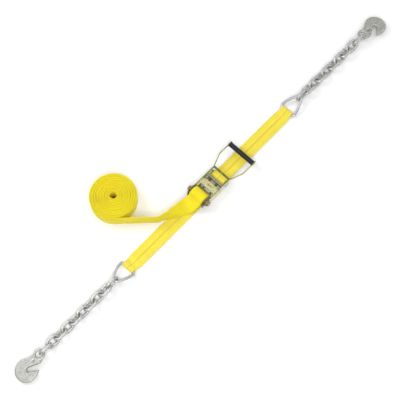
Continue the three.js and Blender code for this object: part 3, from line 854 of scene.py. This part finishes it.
def add_tail(material):
    """The outermost turn comes over the drum, falls on to the strap and runs away to the roll."""
    strip = Strip()
    bend, on_edge, touch, reach = tail_line()
    over_drum = DRUM_RADIUS - THICKNESS / 2
    wrap = half_round((MANDREL.x, MANDREL.z), over_drum, TAIL_OVER, LEAVES_DRUM, 34)
    for point in wrap:
        strip.add(point, Y, Vector((point.x - MANDREL.x, 0, point.z - MANDREL.z)))
    flat = ON_STRAP + THICKNESS / 2
    down = Vector((-math.sin(math.radians(LEAVES_DRUM)), 0, math.cos(math.radians(LEAVES_DRUM))))
    landed = Vector((MANDREL.x - SKIRT_REACH, 0, flat))
    skirt = interpolate_bezier(wrap[-1], wrap[-1] + down * 15 * MM, landed + X * 22 * MM, landed, 40)
    skirt = even(skirt, 1 * MM)
    skirt_x = [-point.x for point in skirt]
    skirt_z = [point.z - flat for point in skirt]
    for point, forward in list(zip(skirt, tangents(skirt, False)))[2:]:
        if point.x > bend[0].x + 1.2 * MM:
            strip.add(point, Y, Y.cross(forward))
    headings = tangents(bend, False)
    length = len(bend) * STEP
    fall = []
    for i, (point, heading) in enumerate(zip(bend, headings)):
        mark = i * STEP
        twist = math.pi / 2 * math.sin(math.pi / 2 * mark / length)
        drop = float(np.interp(-bend[0].x + mark, skirt_x, skirt_z, right=0))
        low = drop + ON_STRAP + (EDGE_LIFT - ON_STRAP) * smooth(0.72, 0.95, mark / length)
        rise = (WIDTH * math.sin(twist) + THICKNESS * math.cos(twist)) / 2
        fall.append((point + Z * (low + rise), heading, twist))
    for (place, heading, twist), forward in zip(fall, tangents([entry[0] for entry in fall], False)):
        right = Vector((heading.y, -heading.x, 0))
        across = right * math.cos(twist) + Z * math.sin(twist)
        strip.add(place, across, across.cross(forward))
    right = Vector((headings[-1].y, -headings[-1].x, 0))
    upright = EDGE_LIFT + WIDTH / 2
    for i in range(1, 24):
        strip.add(on_edge.lerp(touch, i / 24) + Z * upright, Z, -right)
    turns = (reach - ROLL_INNER) / ROLL_PITCH
    start = math.atan2(touch.y - ROLL_CENTRE.y, touch.x - ROLL_CENTRE.x)
    steps = int(turns * ROLL_STEPS)
    for i in range(steps + 1):
        turned_by = 2 * math.pi * turns * i / steps
        slack = ROLL_SLACK * math.sin(turned_by * 2.37) * min(turned_by / 6, 1)
        radius = reach - ROLL_PITCH * turned_by / (2 * math.pi) + slack
        way = Vector((math.cos(start - turned_by), math.sin(start - turned_by), 0))
        lift = ROLL_LIFT * (1 + math.sin(turned_by * 0.83)) * min(turned_by / 3, 1)
        lean = ROLL_LEAN * math.sin(turned_by * 1.7)
        strip.add(ROLL_CENTRE.xy.to_3d() + way * radius + Z * (upright + lift), Z + way * lean, way)
    tail = settle(strip.piece("tail_and_roll", material), "tail", "webbing", "tail_webbing", "webbing_roll")


# Rings, chains and hooks

LINK_WIRE = 4.9 * MM
LINK_BEND = 12.4 * MM
LINK_STRAIGHT = 8.4 * MM
LINK_CENTRE = LINK_STRAIGHT + LINK_BEND  # from the middle of a link to the wire at its end
LINKS = 10  # on each side
RING_WIRE = 4.25 * MM
RING_HALF, RING_CORNER, RING_APEX = 26.8 * MM, 6.5 * MM, 10.6 * MM  # half its bar, and its bends
RING_BOW = 2.6 * MM  # how far its sides bow out
RING_WELD = Vector((30 * MM, 17.2 * MM, 0))
BEAD, BEAD_LENGTH = 0.085, 1.7 * MM  # a weld's height, as a share of the wire's radius
GROOVE, GROOVE_LENGTH, GROOVE_PLACE = 0.35, 0.8 * MM, 2.6 * MM  # beside the bead, as a share of it

# The hook's sizes are in millimetres
HOOK_EYE, HOOK_WIRE, HOOK_HALF = 13.9, 3.9, 6.0
HOOK_NECK = 18
BOWL, BOWL_RADIUS = (58.5, -6.8), 36
THROAT, THROAT_RADIUS, MOUTH = Vector((52.5, -9.4, 0)), 6.6, 207  # the slot, and which way it opens
HOOK_TIP = Vector((31.5, -33.5, 0))
EYE_STEPS = 72
RIM_ROUND = 4.5
SHOULDER_REACH = 6.5  # over which the body thins down to the eye's wire
RIM_SHARE = 0.42  # of the thickness, that is left at the rim
HOLLOW_PLACE, HOLLOW_REACH, HOLLOW_DEPTH = (27, -1.5), (8, 3.6), 0.45
FINGER_TOP = -18  # the finger lies below this
FINGER_END, FINGER_SHARE = (24, -30), 0.62  # it thins to this share of the body there
FINGER_NEAR, FINGER_LENGTH = 3, 26
VOXEL = 0.8
EYE_SLACK = 1 * MM


def wire_loop(line, radius, weld, sides=18, spacing=1.3 * MM):
    """A closed wire loop in the x-y plane, with a raised weld."""
    points = even(line, spacing, True)
    radii = []
    for point in points:
        near = (point - weld).length
        groove = math.exp(-((near - GROOVE_PLACE) / GROOVE_LENGTH) ** 2)
        bead = math.exp(-(near / BEAD_LENGTH) ** 2) - GROOVE * groove
        radii.append(radius * (1 + BEAD * bead))
    return tube(points, [Z] * len(points), radii, sides)


def link_mesh():
    line = arc((LINK_STRAIGHT, 0), LINK_BEND, -90, 90, 24) + arc((-LINK_STRAIGHT, 0), LINK_BEND, 90, 270, 24)
    return wire_loop(line, LINK_WIRE, Vector((0, LINK_BEND, 0)))


def ring_line():
    """One side of the ring, its crown and the other side; its bar closes the line."""
    length = (joint_place("fixed_link_01_swing") - joint_place("fixed_ring_swing")).length
    across, along = RING_HALF - RING_CORNER, length - RING_APEX - RING_CORNER
    slope = math.atan2(across, along) - math.asin((RING_APEX - RING_CORNER) / math.hypot(across, along))
    side = 90 - math.degrees(slope)
    foot = arc((RING_CORNER, RING_HALF - RING_CORNER), RING_CORNER, side, 180, 10)
    crown = arc((length - RING_APEX, 0), RING_APEX, -side, side, 14)
    bow = Vector((math.sin(slope), math.cos(slope), 0)) * RING_BOW
    flank = curve_through(crown[-1], (crown[-1] + foot[0]) / 2 + bow * 2, foot[0])
    upper = flank[1:-1] + foot
    lower = [Vector((p.x, -p.y, 0)) for p in reversed(upper)]
    return lower + crown + upper


def add_ring(label, side, material):
    bar, tip = joint_place(f"{label}_ring_swing"), joint_place(f"{label}_link_01_swing")
    along = tip - bar
    vertices, faces = wire_loop(ring_line(), RING_WIRE, RING_WELD, 20, 1.2 * MM)
    matrix = axes_at(bar, along, along.cross(Y * side))
    piece = piece_from(f"{label}_ring_wire", placed(vertices, matrix), faces, material)
    settle(piece, f"{label}_ring", "bright_zinc", f"{label}_ring")


def add_links(label, material, shape):
    vertices, faces = shape
    for number in range(1, LINKS + 1):
        name = f"{label}_link_{number:02d}"
        following = f"{label}_link_{number + 1:02d}_swing" if number < LINKS else f"{label}_hook_swing"
        start, end = joint_place(f"{name}_swing"), joint_place(following)
        along = (end - start).normalized()
        matrix = axes_at(end - along * LINK_CENTRE, along, joint_axis(f"{name}_swing"))
        piece = piece_from(f"{name}_wire", placed(vertices, matrix), faces, material)
        settle(piece, name, "chain_steel", name)


def hook_outline():
    """The hook's side view in millimetres, with the middle of its eye at the origin."""
    mouth = math.radians(MOUTH)
    out = Vector((math.cos(mouth), math.sin(mouth), 0))
    square = Vector((out.y, -out.x, 0)) * THROAT_RADIUS
    back = arc(BOWL, BOWL_RADIUS, 128, -62, 60)
    shoulder = [Vector((2, HOOK_NECK, 0)), Vector((18, 8, 0)), back[0]]
    under = [back[-1], Vector((67, -42, 0)), Vector((54, -40, 0))]
    point = [under[-1], Vector((42, -38.5, 0)), HOOK_TIP]
    line = curve_through(*shoulder) + back[1:] + curve_through(*under)[1:] + curve_through(*point)[1:]
    line.append(THROAT - square)
    line += arc(THROAT, THROAT_RADIUS, MOUTH + 90, MOUTH + 270, 20)
    line += [THROAT + square + out * 40, Vector((2, -HOOK_NECK, 0))]
    return line + arc((0, 0), HOOK_EYE, -81, 81, 24)


def slab(outline, half):
    """A closed plate in millimetres, before it is rounded."""
    shape = bmesh.new()
    top = [shape.verts.new((p.x, p.y, half)) for p in outline]
    bottom = [shape.verts.new((p.x, p.y, -half)) for p in outline]
    for a, b, c in tessellate_polygon([outline]):
        shape.faces.new((top[a], top[b], top[c]))
        shape.faces.new((bottom[c], bottom[b], bottom[a]))
    for here in range(len(outline)):
        there = (here + 1) % len(outline)
        shape.faces.new((top[here], top[there], bottom[there], bottom[here]))
    bmesh.ops.recalc_face_normals(shape, faces=shape.faces)
    return shape


def baked(piece):
    """A mesh of the piece with its modifiers applied."""
    return bpy.data.meshes.new_from_object(piece.evaluated_get(bpy.context.evaluated_depsgraph_get()))


def hook_shape():
    """One forging: a slab and a round eye run together into one skin, then pressed and drawn out."""
    outline = even(hook_outline(), 1.2, True)
    shape = slab(outline, HOOK_HALF)
    eye = arc((0, 0), HOOK_EYE, 0, 360 - 360 / EYE_STEPS, EYE_STEPS - 1)
    vertices, faces = tube(eye, [Z] * EYE_STEPS, [HOOK_WIRE] * EYE_STEPS, 24)
    made = [shape.verts.new(v) for v in vertices]
    for face in faces:
        shape.faces.new([made[k] for k in face])
    mesh = bpy.data.meshes.new("hook_forging")
    shape.to_mesh(mesh)
    shape.free()
    forging = add_object("hook_forging", mesh)
    remesh = forging.modifiers.new("one_skin", "REMESH")
    remesh.mode = "VOXEL"
    remesh.voxel_size = VOXEL
    skin = baked(forging)
    forging.modifiers.clear()
    forging.data = skin
    press_hook(skin, outline)
    fair = forging.modifiers.new("fair", "SMOOTH")
    fair.factor = 0.5
    fair.iterations = 5
    result = baked(forging)
    bpy.data.objects.remove(forging)
    return result


def inset_from(line, x, y):
    """How far each point lies from a closed line, in its plane."""
    ends = np.array([tuple(p)[:2] for p in line])
    nearest = np.full(len(x), 1e9)
    for a, b in zip(ends, np.roll(ends, -1, axis=0)):
        step = b - a
        share = np.clip(((x - a[0]) * step[0] + (y - a[1]) * step[1]) / max(step @ step, 1e-9), 0, 1)
        nearest = np.minimum(nearest, np.hypot(x - a[0] - share * step[0], y - a[1] - share * step[1]))
    return nearest


def press_hook(mesh, outline):
    """Thin the shoulder down to the eye, round the rim, hollow the neck and draw the finger out."""
    places = np.empty(len(mesh.vertices) * 3)
    mesh.vertices.foreach_get("co", places)
    places = places.reshape(-1, 3)
    x, y, z = places.T
    from_eye = np.clip((np.hypot(x, y) - HOOK_EYE) / SHOULDER_REACH, 0, 1)
    most = HOOK_WIRE + (HOOK_HALF - HOOK_WIRE) * from_eye
    z = np.clip(z, -most, most)
    inset = np.clip(inset_from(outline, x, y) / RIM_ROUND, 0, 1)
    rounded = RIM_SHARE + (1 - RIM_SHARE) * np.sqrt(1 - (1 - inset) ** 2)
    on_body = np.clip((np.hypot(x, y) - HOOK_EYE - 1.5) / 4, 0, 1)
    along, across = (x - HOLLOW_PLACE[0]) / HOLLOW_REACH[0], (y - HOLLOW_PLACE[1]) / HOLLOW_REACH[1]
    hollow = np.exp(-along ** 2 - across ** 2)
    from_tip = np.hypot(x - FINGER_END[0], y - FINGER_END[1])
    share = np.clip((from_tip - FINGER_NEAR) / FINGER_LENGTH, 0, 1)
    drawn = np.where(y < FINGER_TOP, FINGER_SHARE + (1 - FINGER_SHARE) * share, 1.0)
    pressed = rounded * (1 - HOLLOW_DEPTH * hollow) * drawn
    places[:, 2] = z * (1 + on_body * (pressed - 1))
    mesh.vertices.foreach_set("co", places.ravel())
    # marks the neck hollow for painted shade
    painted_recess_shade = mesh.attributes.new("painted_recess_shade", "FLOAT", "POINT")
    painted_recess_shade.data.foreach_set("value", hollow * on_body)


def add_hook(label, side, mesh, material):
    hinge, before = joint_place(f"{label}_hook_swing"), joint_place(f"{label}_link_10_swing")
    normal = joint_axis(f"{label}_hook_swing")
    chain = (hinge - before).normalized()
    along = (X * side - normal * normal.dot(X * side)).normalized()
    pull = (chain + along).normalized()
    near = hinge - pull * (LINK_WIRE + HOOK_WIRE * MM + EYE_SLACK)  # the eye's wire, inside the link
    matrix = axes_at(near + along * HOOK_EYE * MM, along, normal * side if normal.z > 0 else normal * -side)
    piece = add_object(f"{label}_hook_forging", mesh.copy())
    piece.data.transform(matrix @ Matrix.Scale(MM, 4))
    piece.data.polygons.foreach_set("use_smooth", [True] * len(piece.data.polygons))
    piece.data.materials.append(material)
    settle(piece, f"{label}_hook", "chain_steel", f"{label}_hook")


# The ratchet's turned and coiled pieces

# Each spring's outer radius, its wire's radius and its turns
SPRINGS = {
    "drive_pawl_slide": (4.2 * MM, 0.75 * MM, 7.5),
    "base_pawl_slide": (2.6 * MM, 0.45 * MM, 5.5),
}
COIL_STEPS = 22  # in one turn
COTTER_WIRE, COTTER_EYE = 0.75 * MM, 2.6 * MM
COTTER_PLACE = 38.3 * MM  # from the middle of the mandrel
GRIP_BORE = 4.4 * MM
GRIP_RINGS, RING_DEPTH = 26, 0.28 * MM
GRIP_LIP = 5.4 * MM  # at each end, without rings


def add_spring(node, joint, material):
    """A coil between the CAD spring's ends, with its turns closer in the middle than at the ends."""
    low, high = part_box(node)
    along = joint_axis(joint)
    middle = (low + high) / 2
    coil, wire, turns = SPRINGS[joint]
    length = ((high.x - low.x) - 2 * coil * abs(along.z)) / along.x
    up = along.cross(Y)
    steps = int(turns * COIL_STEPS)
    points, ups = [], []
    for i in range(steps + 1):
        t = i / steps
        angle = 2 * math.pi * turns * t
        reach = t + 0.055 * math.sin(2 * math.pi * t)
        radial = Y * math.cos(angle) + up * math.sin(angle)
        points.append(middle + along * (reach - 0.5) * (length - 2 * wire) + radial * (coil - wire))
        ups.append(radial)
    vertices, faces = tube(points, ups, [wire] * len(points), 10, False)
    piece = piece_from(f"{node}_coil", vertices, faces, material)
    settle(piece, BODY_OF[node], "spring_steel", node)
    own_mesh(piece)


def add_grip(material):
    """A vinyl sleeve with fine rings along it and a rolled lip at each end."""
    low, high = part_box("handle_grip")
    middle = (low + high) / 2
    half = (high.y - low.y) / 2
    radius = (high.z - low.z) / 2
    # The lip, as millimetres in from the sleeve's radius and from its end
    steps = [(1.6, 0), (0.5, 0.5), (0, 1.6), (0, 3.6), (0.6, 4.4)]
    lip = [(GRIP_BORE, -half)] + [(radius - inward * MM, -half + along * MM) for inward, along in steps]
    profile = lip[:]
    start, end = -half + GRIP_LIP, half - GRIP_LIP
    for i in range(GRIP_RINGS * 4 + 1):
        y = start + (end - start) * i / (GRIP_RINGS * 4)
        profile.append((radius - 0.45 * MM + RING_DEPTH * math.sin(math.pi * i / 2), y))
    profile += [(r, -y) for r, y in reversed(lip)]
    vertices, faces = turned(profile)
    vertices = [v + middle for v in vertices]
    piece = piece_from("handle_grip_sleeve", vertices, faces, material, math.radians(60))
    settle(piece, "handle", "grip_vinyl", "handle_grip")


def add_cotter(side, sign, material):
    """A split pin: up one leg, round its eye and down the other, with the tips bent apart."""
    node = f"cotter_pin_{side}"
    low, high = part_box(node)
    x, y = MANDREL.x, MANDREL.y + sign * COTTER_PLACE
    top = high.z - 0.9 * MM
    leg = COTTER_WIRE * 0.95

    def leg_up(way):
        foot = Vector((x + way * COTTER_EYE * 1.25, y, low.z + 1.5 * MM))
        knee = Vector((x + way * leg * 1.5, y, low.z + 2.8 * MM))
        heights = np.linspace(low.z + 4.5 * MM, top - 2.6 * COTTER_EYE, 8)
        return [foot, knee] + [Vector((x + way * leg, y, z)) for z in heights]

    centre = Vector((x, y, top - COTTER_EYE))
    turns = np.radians(np.linspace(-50, 230, 18))
    eye = [centre + Vector((math.cos(turn), 0, math.sin(turn))) * COTTER_EYE for turn in turns]
    points = even(leg_up(1) + eye + leg_up(-1)[::-1], 0.6 * MM)
    vertices, faces = tube(points, [Y] * len(points), [COTTER_WIRE] * len(points), 10, False)
    piece = piece_from(f"{node}_wire", vertices, faces, material)
    settle(piece, "mandrel", "bright_zinc", node)


def add_ratchet(zinc, pink, wheel, bright, spring, grip):
    for node in ("base_frame", "handle_frame"):
        # their thin edges and the cross bar's top get a painted dark reflection
        plated(node, zinc, "yellow_zinc", paint_dark_edges=True)
    for node in ("base_pawl", "bolt_sleeve", "handle_rod"):
        plated(node, zinc, "yellow_zinc")
    for node in ("mandrel_upper_half", "mandrel_lower_half", "mandrel_washer_left", "mandrel_washer_right"):
        plated(node, pink, "yellow_zinc", 0.5 * MM, 3)
    for node in ("ratchet_wheel_left", "ratchet_wheel_right"):
        plated(node, wheel, "wheel_zinc", 0.25 * MM)
    plated("drive_pawl", zinc, "bright_zinc")
    for node in ("strap_bolt", "strap_bolt_nut"):
        plated(node, bright, "bright_zinc", 0.7 * MM, 3)
    for pawl in ("drive_pawl", "base_pawl"):
        for side in ("left", "right"):
            add_spring(f"{pawl}_spring_{side}", f"{pawl}_slide", spring)
    add_grip(grip)
    for side, sign in (("left", 1), ("right", -1)):
        add_cotter(side, sign, pink)


add_camera()
add_stage()
webbing = webbing_material()
thread = finish("sewing_thread")
steel = chain_material("chain_steel", CHAIN_TONES)
forged = chain_material("hook_steel", HOOK_TONES)
bright_zinc = finish("bright_zinc")
yellow = yellow_zinc_material("yellow_zinc", STRAW_FILM)
pink = yellow_zinc_material("yellow_zinc_pink", PINK_FILM)
add_ratchet(yellow, pink, finish("wheel_zinc"), bright_zinc, finish("spring_steel"), finish("grip_vinyl"))
add_drum(webbing)
add_fixed_strap(webbing, thread)
add_anchor_strap(webbing, thread)
add_tail(webbing)

link = link_mesh()
hook = hook_shape()
for label, side in (("fixed", 1), ("anchor", -1)):
    add_ring(label, side, bright_zinc)
    add_links(label, steel, link)
    add_hook(label, side, hook, forged)
